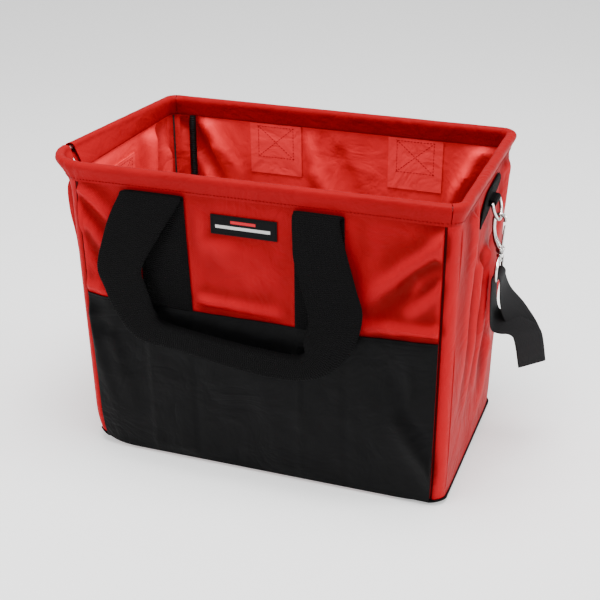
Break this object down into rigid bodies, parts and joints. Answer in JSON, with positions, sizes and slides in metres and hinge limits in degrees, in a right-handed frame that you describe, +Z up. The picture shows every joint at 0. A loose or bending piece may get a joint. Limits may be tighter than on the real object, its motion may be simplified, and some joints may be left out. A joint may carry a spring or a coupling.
{
  "type": "open top tool tote",
  "caption": "Open red nylon box bag on a wire rim, with black lower panels, webbing handles, side D-rings and a snap hook with a short strap.",
  "frame": {"origin": "on the ground under the middle of the bottom", "axes": "+X along the long side towards the side with the snap hook, -Y towards the front, +Z up"},
  "size_m": [0.4985, 0.2824, 0.3291],
  "materials": {
    "red_nylon": "woven coated nylon, matt",
    "black_nylon": "woven coated nylon, matt",
    "black_webbing": "ribbed woven webbing",
    "woven_label": "woven label, bare",
    "black_plastic": "satin",
    "bright_steel": "bright nickel plate"
  },
  "bodies": {
    "bag": {"bag_walls": "red_nylon", "rim_frame": "bright_steel", "base_panel": "black_nylon", "front_panel": "black_nylon", "back_panel": "black_nylon", "label": "woven_label", "front_handle": "black_webbing", "back_handle": "black_webbing", "post_front": "black_plastic", "post_right": "black_plastic", "post_back": "black_plastic", "post_left": "black_plastic", "patch_front_left": "red_nylon", "patch_front_right": "red_nylon", "patch_back_left": "red_nylon", "patch_back_right": "red_nylon", "patch_right": "red_nylon", "patch_left": "red_nylon", "d_ring_tab_right": "black_webbing", "d_ring_tab_left": "black_webbing", "d_ring_right": "bright_steel", "hook_body": "bright_steel", "hook_rivet": "bright_steel", "hook_eye": "bright_steel", "strap": "black_webbing"},
    "gate": {"hook_gate": "bright_steel"},
    "left_ring": {"d_ring_left": "bright_steel"}
  },
  "joints": [
    {"name": "gate_hinge", "type": "hinge", "parent": "bag", "child": "gate", "pos_m": [0.21679, 0.00796, 0.23785], "axis": [0, -1, 0], "range_deg": [0, 14], "stiffness_Nm_per_rad": 0.02, "springref_deg": -28.65},
    {"name": "left_ring_swing", "type": "hinge", "parent": "bag", "child": "left_ring", "pos_m": [-0.21004, -0.00796, 0.28987], "axis": [-0.0008, 1, 0], "range_deg": [-8, 120]}
  ]
}
